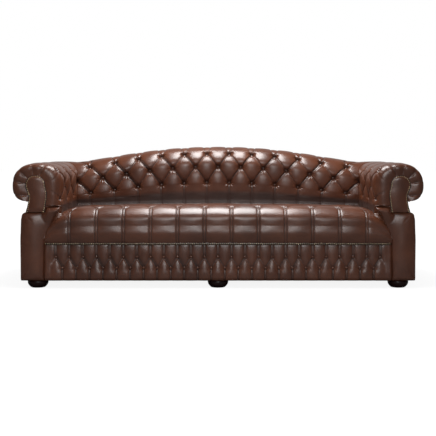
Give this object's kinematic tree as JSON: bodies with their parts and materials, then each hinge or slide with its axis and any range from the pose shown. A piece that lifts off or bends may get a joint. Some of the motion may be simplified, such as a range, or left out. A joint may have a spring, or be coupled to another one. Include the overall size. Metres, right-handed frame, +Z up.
{
  "type": "camelback sofa",
  "caption": "Long sofa with a humped rolled back, rolled arms, deep-buttoned leather, nail-trimmed arm facings and bun feet, on a sprung timber frame.",
  "frame": {"origin": "on the floor, below the middle of the sofa", "axes": "+X along the sofa, the front faces -Y, +Z up"},
  "size_m": [2.4488, 0.9294, 0.8494],
  "materials": {
    "leather": "antiqued, semi-gloss",
    "timber": "sawn hardwood, unfinished",
    "feet": "dark polished",
    "nails": "antique, dulled",
    "steel": "drawn wire and turned bolts",
    "hessian": "coarse plain weave",
    "dust_cloth": "thin black cloth"
  },
  "bodies": {
    "root": {"back_border": "leather", "back_hessian": "hessian", "back_pad": "leather", "back_rail": "timber", "back_stuffing_rail": "timber", "back_top_rail": "timber", "centre_cross_rail": "timber", "centre_front_foot": "feet", "centre_front_foot_bolt": "steel", "centre_rear_foot": "feet", "centre_rear_foot_bolt": "steel", "dust_cover": "dust_cloth", "front_border": "leather", "front_nails": "nails", "front_rail": "timber", "left_arm_block": "leather", "left_arm_front_post": "timber", "left_arm_hessian": "hessian", "left_arm_pad": "leather", "left_arm_stuffing_rail": "timber", "left_arm_top_rail": "timber", "left_back_upright": "timber", "left_corner_block": "timber", "left_cross_rail": "timber", "left_end_rail": "timber", "left_facing_board": "timber", "left_facing_nails": "nails", "left_facing_panel": "leather", "left_front_foot": "feet", "left_front_foot_bolt": "steel", "left_outside_arm_panel": "leather", "left_rear_corner_post": "timber", "left_rear_foot": "feet", "left_rear_foot_bolt": "steel", "left_side_border": "leather", "outside_back_panel": "leather", "right_arm_block": "leather", "right_arm_front_post": "timber", "right_arm_hessian": "hessian", "right_arm_pad": "leather", "right_arm_stuffing_rail": "timber", "right_arm_top_rail": "timber", "right_back_upright": "timber", "right_corner_block": "timber", "right_cross_rail": "timber", "right_end_rail": "timber", "right_facing_board": "timber", "right_facing_nails": "nails", "right_facing_panel": "leather", "right_front_foot": "feet", "right_front_foot_bolt": "steel", "right_outside_arm_panel": "leather", "right_rear_corner_post": "timber", "right_rear_foot": "feet", "right_rear_foot_bolt": "steel", "right_side_border": "leather", "seat_pad": "leather", "seat_spring_cover": "hessian", "seat_spring_unit": "steel"}
  },
  "joints": []
}
